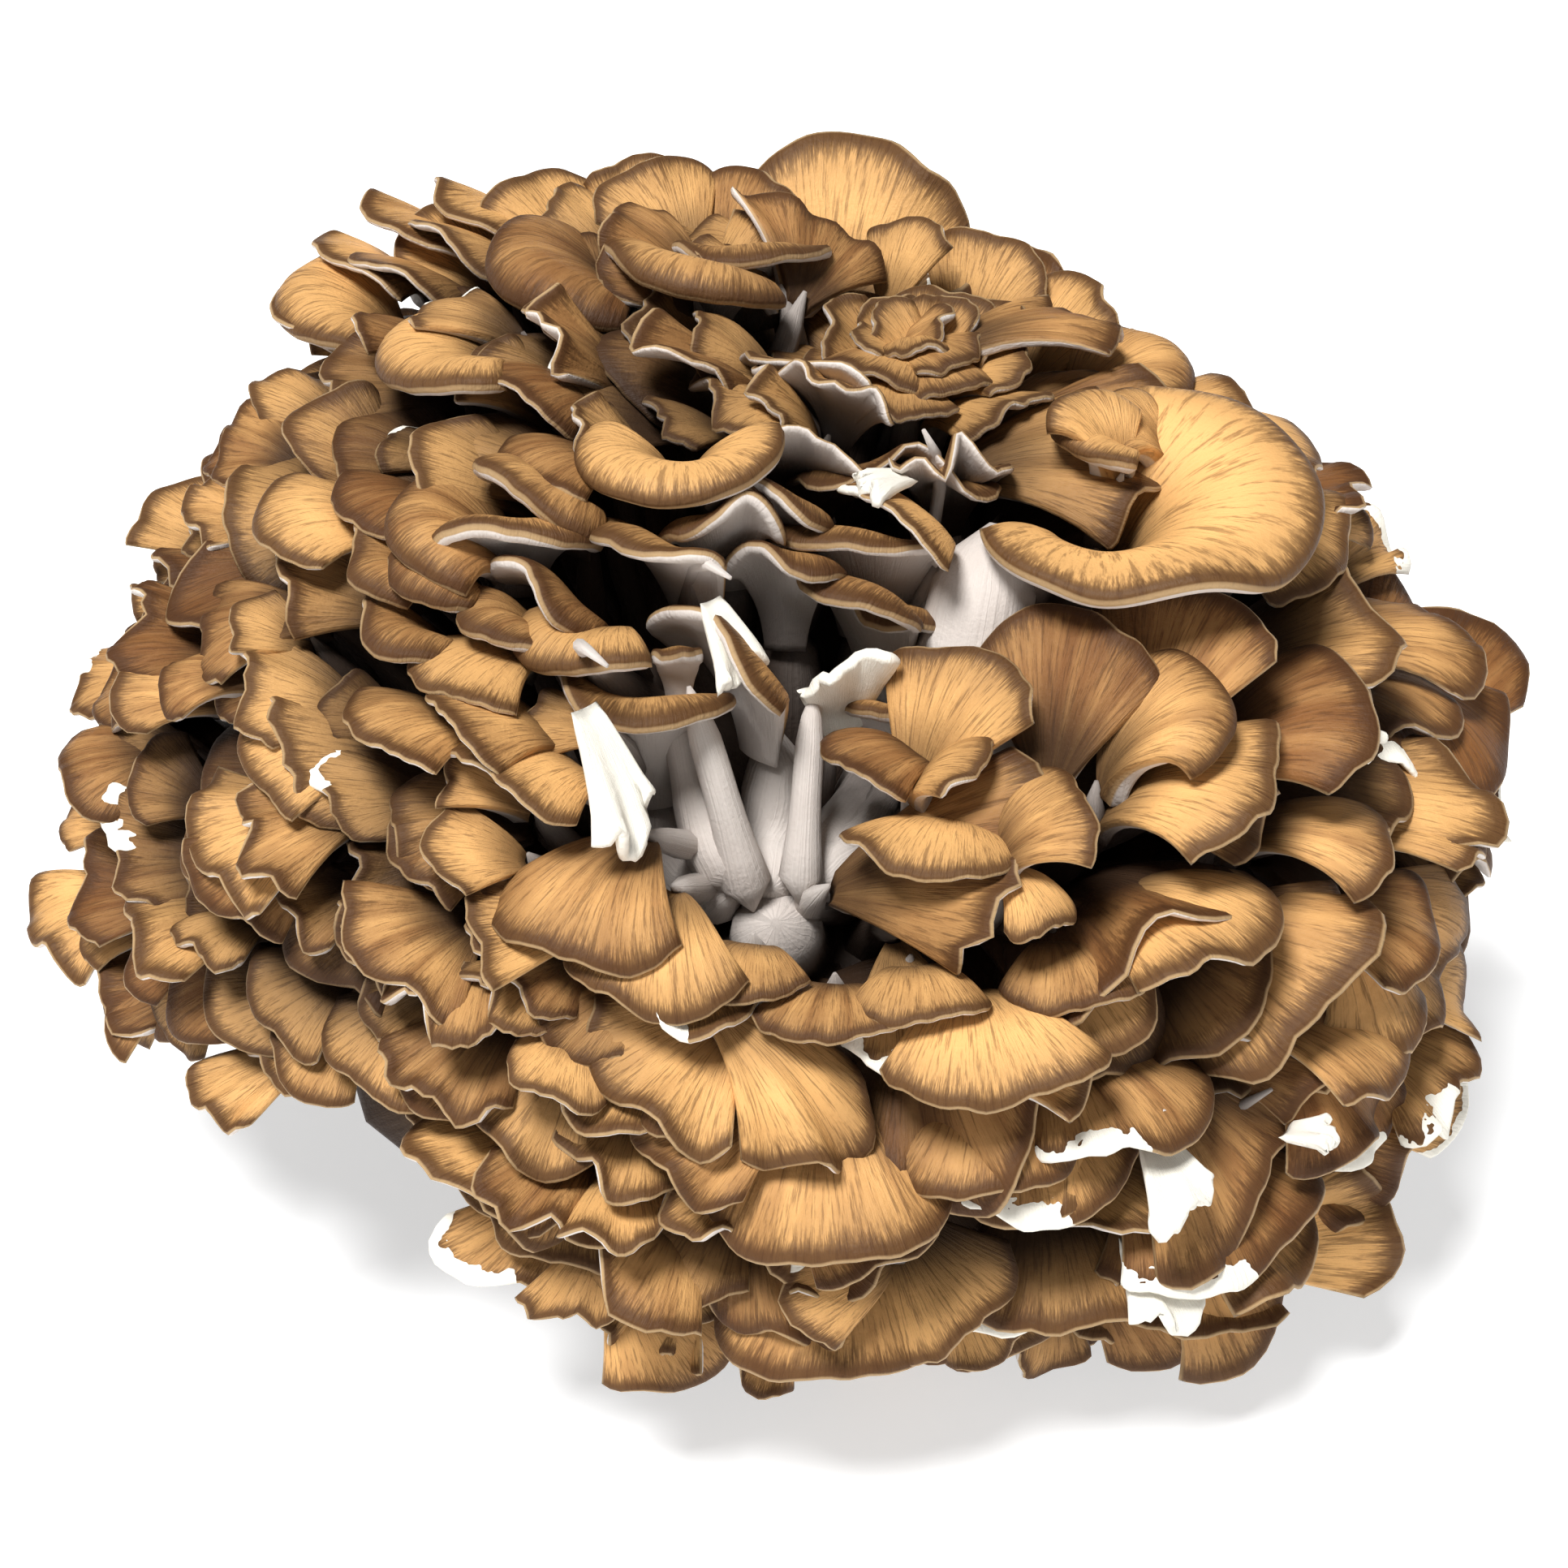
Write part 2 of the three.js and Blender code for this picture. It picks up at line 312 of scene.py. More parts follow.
def place_level(frond, azimuth, elevation, out, facing, rise):
    """Sets a frond on the egg so that it faces a compass angle round the cluster, with 0 to
    the right and 90 away, and its blade rises by so many degrees above the level."""
    point, _ = egg_spot(azimuth, elevation, out)
    level = direction(facing, 0)
    droop = math.radians(90 - frond.flare - rise)
    axis = math.cos(droop) * UP + math.sin(droop) * level
    return Placed(frond, point, axis, math.cos(droop) * level - math.sin(droop) * UP)


DROOP = 0.16


def flow(point, normal):
    """The way fronds face on the skin: away from both rosettes, the nearer one more, and
    drooping a little."""
    way = -DROOP * UP
    for middle, reach in ROSETTE_REACHES:
        away = point - middle
        distance = np.linalg.norm(away)
        way = way + away / distance * (0.2 + 2 * math.exp(-distance / reach))
    return unit(way - normal * (way @ normal))


GOLDEN_ANGLE = 180 * (3 - math.sqrt(5))
SCATTER = 1.6  # degrees


def evenly_spread(count, lowest_rise, rng):
    """Azimuths and elevations a golden angle apart, from the top down to where the rise, the
    elevation's sine, is lowest, with a little scatter."""
    for index in range(count):
        rise = 1 - (1 - lowest_rise) * (index + 0.5) / count
        jitter = SCATTER * rng.normal(0, 1, 2)
        elevation = math.degrees(math.asin(rise)) + jitter[0]
        azimuth = (index * GOLDEN_ANGLE + jitter[1] + 180) % 360 - 180
        yield azimuth, min(elevation, 89)


CLUMP_SIZE = 0.060


def clump_tilt(point):
    """A vector that changes smoothly from clump to clump and is almost the same for
    neighbouring fronds, so that they tilt together: sines of the three coordinates."""
    x, y, z = point * 2 * math.pi / CLUMP_SIZE
    return np.array((
        math.sin(0.9 * x + 0.5 * z + 1.0) + 0.6 * math.sin(1.3 * y - 0.7 * z),
        math.sin(0.8 * y + 0.6 * x + 2.0) + 0.6 * math.sin(1.2 * z + 0.4 * x),
        math.sin(0.9 * z - 0.6 * y + 3.0) + 0.6 * math.sin(1.1 * x + 0.8 * y),
    ))


FIELD_LOWEST_RISE = -0.72
UNDER_LOWEST_RISE = -0.80
UNDER_HIGHEST = 12  # degrees of elevation
USUAL_WIDTH = 0.036
RIGHT_DROPPED = 0.44  # share of the fronds left out on the right, where they are larger
TORN_LUCK = 0.93  # a frond with more luck than this is torn


def taken_places(heroes):
    """Middles and radii of the places that field fronds keep clear of: the open places, and
    for each placed frond its middle and the room in front of it."""
    taken = list(OPEN_PLACES)
    for hero in heroes:
        room = hero.frond.clear * hero.frond.length
        taken.append((hero.point, 0.32 * hero.frond.length))
        taken.append((hero.point + 0.7 * room * hero.facing, room))
    return taken


def field_frond(point, jitter, luck, width):
    """A frond of the field. It is larger on the right and smaller near the floor, stands more
    upright near a rosette, and is lighter low on the left, high up and at the front."""
    right = smooth(-0.04, 0.10, point[0])
    size = width / USUAL_WIDTH * (0.72 + 0.48 * right) * (0.66 + 0.66 * luck[0])
    size = min(size, 1.25) * (1 - 0.35 * smooth(0.055, 0.025, point[2]))
    nearest = min(np.linalg.norm(point - middle) for middle, _ in ROSETTE_REACHES)
    standing = math.exp(-nearest / 0.035)
    low_left = smooth(0.03, 0.12, -point[0]) * smooth(0.10, 0.06, point[2])
    high = smooth(0.19, 0.24, point[2])
    front = smooth(0.04, 0.11, -point[1]) * (1 - 0.6 * right)
    return Frond(
        length=0.046 * size,
        spread=56 + 40 * luck[1],
        flare=56 - 24 * standing - 6 * smooth(0.17, 0.22, point[2]) + 10 * jitter[3],
        roll=-6 + 28 * luck[2],
        ripple=4 + 7 * luck[3],
        waves=1.5 + 3.5 * luck[4],
        lobes=0.04 + 0.09 * luck[5],
        skew=0.10 * jitter[5],
        crinkle=1.1 + 3.0 * luck[6] ** 2,
        cup=0.15 + 0.4 * luck[4],
        phase=6.28 * luck[6],
        tone=0.95 * luck[7] ** 1.5 + 0.35 * low_left + 0.25 * high + 0.28 * front,
        torn=1.0 if luck[8] > TORN_LUCK else 0.0,
        rows=12,
    )


def field_fronds(settings, heroes):
    """Fronds spread evenly over the egg, lying like shingles, clear of the large ones. They
    are calmer on the left, and tilt in clumps except near the floor."""
    rng = np.random.default_rng(settings.seed)
    taken = taken_places(heroes)
    placed = []
    for azimuth, elevation in evenly_spread(settings.frond_count, FIELD_LOWEST_RISE, rng):
        jitter = np.clip(rng.normal(0, 1, 6), -1.7, 1.7)
        luck = rng.random(9)
        if elevation < np.interp(azimuth, SKIRT_AZIMUTHS, SKIRT_ELEVATIONS):
            continue
        point, normal = egg_spot(azimuth, elevation, 0.98 + 0.026 * jitter[4])
        if any(np.linalg.norm(point - middle) < room for middle, room in taken):
            continue
        if luck[8] < RIGHT_DROPPED * smooth(-0.04, 0.10, point[0]):
            continue
        wild = 1 - 0.45 * smooth(0.0, 0.07, -point[0])
        clump = clump_tilt(point) * smooth(0.01, 0.08, point[2]) * wild
        axis = normal + 0.55 * UP + 0.20 * wild * jitter[0:3] + 0.30 * clump
        facing = flow(point, normal) + 0.20 * wild * rng.normal(0, 1, 3) + 0.34 * clump
        frond = field_frond(point, jitter, luck, settings.frond_width)
        placed.append(place_on_skin(frond, point, axis, facing))
    return placed


def undergrowth(settings):
    """Smaller fronds deeper in and under the skirt, so that the underside is finished."""
    rng = np.random.default_rng(settings.seed + 1)
    placed = []
    for azimuth, elevation in evenly_spread(settings.under_count, UNDER_LOWEST_RISE, rng):
        luck = rng.random(6)
        if elevation > UNDER_HIGHEST:
            continue
        skirt = np.interp(azimuth, SKIRT_AZIMUTHS, SKIRT_ELEVATIONS)
        out = 0.80 - 0.011 * max(0, skirt - elevation)
        point, normal = egg_spot(azimuth, elevation, out)
        frond = Frond(
            length=0.040 + 0.014 * luck[0],
            spread=90 + 30 * luck[1],
            flare=58 + 16 * luck[2],
            roll=10 + 20 * luck[3],
            waves=2 + 2 * luck[4],
            phase=6.28 * luck[5],
            tone=0.6 * luck[0] + 0.2,
            rows=8,
            columns=10,
        )
        facing = np.array((point[0], point[1], -0.02)) + 0.05 * rng.normal(0, 1, 3)
        placed.append(place_on_skin(frond, point, normal + 0.5 * UP, facing))
    return placed


# ---------------------------------------------------------------- fronds with places of their own

FAN = Frond(
    length=0.041, spread=84, flare=74, roll=16, ripple=5, waves=2.2, cup=0.25, crinkle=1.8,
    shade=0.8, rows=20, columns=32,
)
EAR = Frond(
    length=0.044, spread=150, flare=66, roll=58, ripple=4, waves=2, corner=0.2, cup=0.9,
    root_thick=0.007, rim_thick=0.0044, shade=0.8, rows=22, columns=36,
)
CUP = Frond(
    length=0.048, spread=100, stalk=0.006, start=4, flare=30, roll=46, ripple=7, waves=2,
    corner=0.24, cup=0.75, rim_thick=0.0034, hold=0.88, clear=0.42, neck=0.0085, shade=0.5,
    rows=22, columns=30,
)
UPRIGHT = Frond(
    length=0.041, spread=82, flare=42, roll=8, ripple=5, waves=3, cup=0.3, crinkle=1.8,
    shade=0.7, rows=20, columns=32,
)
CHIP = Frond(
    length=0.018, spread=34, stalk=0.010, start=34, flare=42, roll=8, ripple=7, waves=3,
    lobes=0.14, crinkle=5, corner=0.06, root_thick=0.0015, rim_thick=0.003, torn=2.0,
    neck=0.0016, rows=9, columns=18,
)
THIN = Frond(
    length=0.038, spread=90, flare=60, roll=6, ripple=5, waves=2.5, cup=0.3,
    root_thick=0.004, rim_thick=0.0022, rows=16, columns=26,
)
FUNNEL = Frond(
    length=0.046, spread=236, stalk=0.009, start=14, flare=76, roll=34, ripple=4, waves=5,
    lobes=0.06, corner=0.10, skew=0.22, cup=1.0, rim_thick=0.0048, by_axis=True, neck=0.012,
    rows=30, columns=80,
)

# Azimuth, elevation, out, facing and rise as place_level takes them, then the kind, its tone
# and phase, and what else differs from the kind.
HEROES = (
    # the golden funnel, what grows inside it, and the fans behind it
    (-29, 57, 1.02, -42, 4, FUNNEL, 1.0, 0.4, dict(length=0.048, ripple=6)),
    (-24, 61, 1.03, -150, 30, EAR, 0.75, 2.0, dict(length=0.026, spread=110)),
    (-14, 60, 1.03, 170, 30, EAR, 0.6, 1.0, dict(length=0.024, spread=110)),
    (-20, 62, 1.05, 120, 40, EAR, 0.7, 3.0, dict(length=0.026, spread=90)),
    (2, 46, 1.06, 14, -8, FAN, 0.95, 1.3, dict(length=0.045)),
    (-6, 39, 1.00, -18, -12, FAN, 0.8, 2.9, dict(length=0.046)),
    # upright fans behind the top rosette
    (80, 60, 1.07, 85, 50, UPRIGHT, 1.0, 0.9, dict(length=0.060, spread=88)),
    (112, 56, 1.04, 100, 55, UPRIGHT, 0.8, 2.2, dict(length=0.032, spread=67)),
    (125, 54, 1.03, 130, 35, UPRIGHT, 0.9, 3.1, dict(length=0.037)),
    (137, 50, 1.03, 142, 25, UPRIGHT, 0.7, 4.4, dict(length=0.037)),
    (118, 66, 1.02, 120, 35, UPRIGHT, 0.7, 5.2, dict(length=0.035)),
    (97, 67, 1.02, 60, 44, UPRIGHT, 0.4, 0.2, dict(length=0.032)),
    (60, 68, 1.02, 60, 50, UPRIGHT, 0.8, 1.9, dict(length=0.027, spread=62)),
    (50, 60, 1.02, 62, 50, UPRIGHT, 0.7, 3.3, dict(length=0.035)),
    (36, 56, 1.02, 40, 40, UPRIGHT, 0.75, 0.6, dict(length=0.035)),
    (20, 54, 1.02, 20, 22, EAR, 0.5, 1.9, dict(length=0.042, spread=120)),
    (8, 50, 1.02, 10, 4, FAN, 0.6, 4.0, {}),
    # thin fronds stacked up to the left
    (135, 52, 1.05, -150, 22, THIN, 0.7, 0.5, {}),
    (142, 50, 1.06, -146, 22, THIN, 0.5, 1.6, {}),
    (148, 47, 1.06, -152, 22, THIN, 0.8, 2.7, {}),
    (150, 52, 1.01, -140, 22, THIN, 0.4, 3.8, {}),
    (143, 56, 1.00, -145, 22, THIN, 0.6, 4.9, {}),
    (157, 45, 1.04, -155, 22, THIN, 0.5, 0.9, {}),
    # hollow fans up to the left
    (155, 46, 1.06, 178, 18, EAR, 0.7, 1.7, dict(spread=130)),
    (154, 67, 1.00, -160, 24, EAR, 0.22, 0.6, dict(length=0.050, spread=130)),
    (180, 59, 1.01, -162, 8, EAR, 0.75, 2.8, dict(length=0.042)),
    (-165, 67, 0.99, -150, 14, FAN, 0.15, 3.9, dict(length=0.034)),
    # thick rolled rims between the two rosettes
    (148, 79, 1.01, -125, 34, EAR, 0.5, 0.5, dict(length=0.040)),
    (99, 81, 1.00, -84, 54, CUP, 0.5, 1.6, dict(length=0.040, spread=130)),
    (-118, 71, 1.01, -100, 14, EAR, 0.85, 2.6, dict(
        length=0.032, spread=225, by_axis=True, rim_thick=0.0055, columns=60,
    )),
    (-142, 63, 1.00, -150, 2, FAN, 0.3, 2.7, dict(length=0.032)),
    (-136, 61, 1.01, -138, 34, EAR, 0.45, 5.0, dict(length=0.036, spread=110)),
    (-147, 54, 1.02, 178, 30, EAR, 0.35, 0.3, dict(length=0.042, spread=120)),
    (-133, 57, 1.01, -84, 42, EAR, 0.5, 5.6, dict(length=0.036, spread=110)),
    (-140, 50, 1.02, -136, 30, EAR, 0.3, 1.2, dict(length=0.034, spread=70)),
    (-127, 54, 1.00, -142, 50, CUP, 0.3, 5.0, dict(length=0.040, spread=84)),
    (-115, 59, 1.01, -134, 56, CUP, 0.5, 2.4, dict(length=0.048, spread=96)),
    (-103, 64, 1.00, -92, 52, CUP, 0.4, 3.6, dict(length=0.036, spread=84, ripple=12)),
    (-100, 55, 1.01, -134, 62, CUP, 0.5, 4.7, dict(spread=88, pit=True)),
    (-82, 60, 1.01, -124, 60, CUP, 0.4, 0.9, dict(length=0.052, spread=84, pit=True)),
    (-76, 64, 1.02, -104, 60, CUP, 0.5, 2.0, dict(length=0.050, spread=110)),
    (-120, 50, 0.98, -128, 8, EAR, 0.75, 3.0, dict(length=0.036, spread=110)),
    (-110, 68, 1.00, -120, 48, CUP, 0.3, 4.0, dict(length=0.040, spread=90)),
    (-93, 68, 1.00, -108, 50, CUP, 0.4, 5.0, dict(length=0.038, spread=80)),
    (-150, 47, 1.02, -158, 34, CUP, 0.4, 6.0, dict(length=0.040, spread=80)),
    (-141, 43, 1.02, -140, 40, CUP, 0.4, 0.5, dict(length=0.040, spread=90)),
    (-130, 48, 1.01, -148, 44, CUP, 0.35, 1.5, dict(length=0.040, spread=70)),
    (-134, 38, 1.02, -150, 6, FAN, 0.45, 2.5, dict(length=0.036)),
    (-126, 42, 1.02, -160, 14, FAN, 0.5, 3.5, dict(length=0.036)),
    (-119, 39, 1.03, -142, 8, FAN, 0.85, 4.5, dict(length=0.036)),
    (-90, 62, 0.99, -96, 58, CUP, 0.3, 0.1, dict(length=0.044, spread=70)),
    (-69, 58, 1.00, -100, 60, CUP, 0.45, 1.1, dict(length=0.046, spread=70)),
    (-75, 49, 0.98, -110, 56, CUP, 0.6, 2.2, dict(length=0.020, spread=90, neck=0.0040, pit=True)),
    (-105, 52, 0.99, -80, 70, CUP, 0.5, 1.9, dict(
        length=0.018, stalk=0.003, spread=70, neck=0.0044, pit=True,
    )),
    # golden and dark round fans on the left
    (-164, 45, 1.03, -172, -2, FAN, 0.98, 0.7, dict(length=0.035, spread=96)),
    (-156, 51, 1.01, -150, 4, FAN, 0.08, 1.8, dict(length=0.034)),
    (-131, 44, 1.00, -142, -6, FAN, 0.8, 2.9, dict(length=0.034)),
    (-171, 1, 1.05, -168, -16, FAN, 0.95, 2.0, dict(ripple=9, waves=4)),
    # round the open front rosette
    (-108, 45, 1.05, -92, 62, CUP, 0.6, 1.0, dict(
        length=0.050, spread=170, flare=24, roll=54, cup=0.95, pit=True,
    )),
    (-80, 44, 1.05, -150, 4, FAN, 0.22, 3.2, dict(length=0.029)),
    (-64, 49, 1.05, 55, 46, UPRIGHT, 0.65, 2.2, dict(length=0.040)),
    (-68, 42, 1.03, -20, 30, FAN, 0.6, 1.7, dict(length=0.026)),
    (-75, 34, 1.04, -102, 0, FAN, 0.85, 1.1, dict(length=0.034, spread=92)),
    (-62, 36, 1.02, 20, 26, FAN, 0.45, 5.7, dict(length=0.032)),
    (-66, 28, 1.03, -60, -22, FAN, 1.0, 4.9, dict(length=0.024, spread=52)),
    (-64, 21, 1.01, -80, -16, FAN, 0.4, 3.7, dict(length=0.029)),
    # broad fans on the right
    (-49, 48, 0.99, 74, 42, UPRIGHT, 0.2, 0.6, dict(length=0.043)),
    (-35, 44, 0.99, 60, 35, UPRIGHT, 0.3, 2.6, dict(length=0.046)),
    (-44, 40, 1.02, 22, 26, EAR, 0.5, 3.9, dict(length=0.040, spread=100)),
    (-27, 34, 1.00, 14, 16, FAN, 0.12, 4.4, dict(length=0.048, spread=92)),
    (-44, 33, 1.03, -12, 8, FAN, 0.8, 3.3, dict(length=0.051, spread=73)),
    (-50, 23, 1.04, -30, -2, FAN, 0.95, 0.8, dict(length=0.053, spread=77)),
    (-32, 23, 1.01, -10, -8, FAN, 0.5, 5.5, dict(length=0.046, spread=59)),
    (-18, 16, 1.02, 0, -10, FAN, 0.6, 1.4, dict(length=0.045, spread=62)),
    (-28, 12, 1.01, -10, -15, FAN, 0.3, 2.5, dict(length=0.042)),
    (-35, 6, 1.02, -16, -20, FAN, 0.45, 1.7, dict(length=0.046)),
    # large fans at the front
    (-73, 17, 1.07, -86, -22, FAN, 1.0, 2.8, dict(length=0.043, spread=87)),
    (-109, 28, 1.04, -124, -34, FAN, 0.4, 5.1, dict(length=0.043)),
    (-102, 24, 1.04, -106, -34, FAN, 0.65, 0.2, dict(length=0.037)),
    (-94, 24, 1.00, -100, -6, FAN, 0.5, 1.3, dict(length=0.027)),
    (-86, 21, 1.01, -94, -6, FAN, 0.35, 2.4, dict(length=0.029)),
    (-78, 22, 1.01, -84, -8, FAN, 0.6, 3.5, dict(length=0.027)),
    (-87, 5, 1.04, -95, -40, FAN, 0.45, 3.9, dict(length=0.051, spread=87)),
    (-72, 8, 1.02, -80, -34, FAN, 0.4, 4.8, dict(length=0.038)),
    (-85, -11, 1.02, -92, -48, FAN, 0.5, 5.0, dict(length=0.050)),
    (-60, 9, 1.02, -56, -20, FAN, 0.35, 0.1, dict(length=0.046, torn=1.0)),
    (-66, 4, 1.01, -70, -28, FAN, 0.45, 1.5, dict(length=0.042, torn=1.0)),
    (-50, -6, 1.02, -45, -30, FAN, 0.12, 3.0, dict(length=0.056, torn=1.0)),
    # pieces of broken white flesh
    (-105, 34, 1.08, -48, -52, CHIP, 0.5, 1.0, dict(length=0.030, spread=26, stalk=0.016)),
    (-96, 51, 1.06, -50, -50, CHIP, 0.5, 2.0, dict(length=0.020)),
    (-80, 53, 1.03, -75, 70, CHIP, 0.5, 3.4, dict(length=0.026, spread=44)),
    (-71, 67, 1.05, -140, 10, CHIP, 0.5, 3.0, dict(length=0.016)),
    (-66, 66, 1.04, -150, 26, FAN, 0.8, 4.0, dict(length=0.030, spread=100, torn=1.0)),
    (-58, 2, 1.09, -60, -30, CHIP, 0.5, 5.0, dict(length=0.020, spread=46)),
    (-57, -12, 1.09, -60, -40, CHIP, 0.5, 0.5, dict(length=0.022, spread=46)),
    (-44, 2, 1.08, -30, 10, CHIP, 0.5, 1.5, dict(length=0.012)),
    (-30, 28, 1.07, -20, 20, CHIP, 0.5, 2.5, dict(length=0.014)),
)


# Foot and tip of each bare stem, as azimuth, elevation and out, and its radius, which the
# profile scales from foot to tip.
BARE_STEMS = (
    ((-91, 16, 0.50), (-91, 27, 0.80), 0.013),
    ((-94, 28, 0.78), (-104, 50, 0.97), 0.0046),
    ((-88, 29, 0.80), (-85, 52, 0.96), 0.0040),
    ((-62, 40, 0.72), (-42, 62, 0.94), 0.0150),
)
BARE_STEM_PROFILE = np.array((0.05, 1.3, 1.1, 0.95, 0.88, 0.86, 0.82, 0.6, 0.1))

ROSETTE_LOBES = 19


def rosette_lobes():
    """Narrow lobes a golden angle apart round the middle of the top rosette, longer and more
    level further out, and upright where they face away from the front."""
    lobes = []
    for index in range(ROSETTE_LOBES):
        facing = index * GOLDEN_ANGLE
        share = index / (ROSETTE_LOBES - 1)
        turn = math.sin(math.radians(facing))
        frond = replace(
            UPRIGHT,
            length=0.023 + 0.013 * share + 0.005 * math.sin(2.9 * index),
            spread=52 + 26 * math.sin(3.3 * index) ** 2,
            flare=52 + 14 * share - 26 * turn + 9 * math.sin(2.7 * index),
            roll=-8 + 26 * math.sin(2.1 * index) ** 2,
            cup=0.4,
            phase=1.7 * index,
            tone=0.45 + 0.5 * math.sin(1.3 * index) ** 2,
        )
        level = direction(facing, 0)
        point = TOP_ROSETTE + level * (0.005 + 0.024 * share) - UP * 0.010 * share
        lobes.append(place_on_skin(frond, point, UP + 0.05 * level, level))
    return lobes


def hero_fronds():
    """Every frond with a place of its own, and the lobes of the top rosette."""
    placed = []
    for *place, kind, tone, phase, changes in HEROES:
        placed.append(place_level(replace(kind, tone=tone, phase=phase, **changes), *place))
    return placed + rosette_lobes()


# ---------------------------------------------------------------- building meshes

# Corners of a grid's cell, row step and column step, in the order round a quad of each kind
# of surface.
TOP_QUAD = ((0, 0), (1, 0), (1, 1), (0, 1))
BOTTOM_QUAD = TOP_QUAD[::-1]
TUBE_QUAD = ((0, 0), (0, 1), (1, 1), (1, 0))
TILE_MARGIN = 0.04


class Skin:
    """Gathers closed surfaces with their attributes, and makes one mesh of them."""

    # deep is the depth under the egg's skin, which the material turns into painted shade
    NAMES = ("along", "across", "side", "tone", "torn", "deep")

    def __init__(self):
        self.points = []
        self.quads = []
        self.values = []
        self.tiles = []
        self.count = 0

    def add(self, points, values, sheets):
        """Adds points (n, 3), a number or an array for each of NAMES, and sheets of faces on
        those points. A sheet is its quads (m, 4) and their places in a tile (m, 4, 2)."""
        for quads, places in sheets:
            self.quads.append(quads + self.count)
            self.tiles.append(places)
        self.points.append(points)
        self.values.append(np.stack([np.broadcast_to(x, len(points)) for x in values], 1))
        self.count += len(points)

    def mesh_object(self, name, material):
        """One object at the origin whose mesh holds every surface and its attributes."""
        mesh = bpy.data.meshes.new(name)
        points = np.concatenate(self.points)
        quads = np.concatenate(self.quads)
        mesh.vertices.add(len(points))
        mesh.vertices.foreach_set("co", points.ravel())
        mesh.loops.add(quads.size)
        mesh.loops.foreach_set("vertex_index", quads.ravel())
        mesh.polygons.add(len(quads))
        mesh.polygons.foreach_set("loop_start", np.arange(len(quads)) * 4)
        mesh.update(calc_edges=True)
        mesh.polygons.foreach_set("use_smooth", np.ones(len(quads), bool))
        values = np.concatenate(self.values)
        for number, label in enumerate(self.NAMES):
            attribute = mesh.attributes.new(label, "FLOAT", "POINT")
            attribute.data.foreach_set("value", np.ascontiguousarray(values[:, number]))
        self.lay_tiles(mesh)
        mesh.materials.append(material)
        mesh.validate()
        piece = bpy.data.objects.new(name, mesh)
        bpy.context.scene.collection.objects.link(piece)
        return piece

    def lay_tiles(self, mesh):
        """Each sheet gets a square tile of its own in a square atlas, with a margin round it."""
        per_side = math.ceil(math.sqrt(len(self.tiles)))
        laid = []
        for number, places in enumerate(self.tiles):
            corner = np.array(divmod(number, per_side)) + TILE_MARGIN
            laid.append((corner + (1 - 2 * TILE_MARGIN) * places) / per_side)
        uv = mesh.uv_layers.new(name=BAKE_MAP)
        uv.data.foreach_set("uv", np.concatenate(laid).ravel())


def cells(grid, order):
    """The corners of each cell of a grid, in that order: an array (cells, 4, ...)."""
    rows, columns = grid.shape[0] - 1, grid.shape[1] - 1
    corners = [grid[i : i + rows, j : j + columns] for i, j in order]
    return np.stack(corners, axis=2).reshape(rows * columns, 4, *grid.shape[2:])


def tile_grid(high, wide):
    """Places in the unit square of a grid of high by wide points."""
    lines = np.meshgrid(np.linspace(0, 1, high), np.linspace(0, 1, wide), indexing="ij")
    return np.stack(lines, axis=-1)


def sheet_faces(high, wide):
    """A top and a bottom sheet of high by wide points that share their border. The bottom
    sheet's inner points come after all the top sheet's."""
    top = np.arange(high * wide).reshape(high, wide)
    bottom = top.copy()
    inner = np.arange((high - 2) * (wide - 2)) + high * wide
    bottom[1:-1, 1:-1] = inner.reshape(high - 2, wide - 2)
    tile = tile_grid(high, wide)
    pairs = ((top, TOP_QUAD), (bottom, BOTTOM_QUAD))
    return [(cells(grid, order), cells(tile, order)) for grid, order in pairs]


LIGHT_REACH = 0.045


def depth_below(points):
    """How far under the egg's skin each point lies, 0 on it and 1 where no light reaches, and
    less than 0 outside it. Light reaches further down into the open places, so the depth is
    made less there, by up to nine tenths, with a bell curve of the distance."""
    away = points - EGG_CENTRE
    distance = np.linalg.norm(away, axis=1)
    depth = (egg_reach(away / distance[:, None]) - distance) / LIGHT_REACH
    for middle in (FRONT_ROSETTE, TOP_ROSETTE, VALLEY, PIT_FOOT):
        distance = np.linalg.norm(points - middle, axis=1)
        depth = depth * (1 - 0.9 * np.exp(-((distance / LIGHT_REACH) ** 2)))
    return np.clip(depth, -1, 1)


SOFT_HEIGHT = 0.020
LEAST_HEIGHT = 0.001


def rested(points):
    """Points below the soft height are squeezed upwards, so that none goes through the floor:
    their height falls towards the least one as an exponential."""
    room = SOFT_HEIGHT - LEAST_HEIGHT
    height = points[..., 2]
    squeezed = LEAST_HEIGHT + room * np.exp((height - SOFT_HEIGHT) / room)
    raised = points.copy()
    raised[..., 2] = np.where(height < SOFT_HEIGHT, squeezed, height)
    return raised


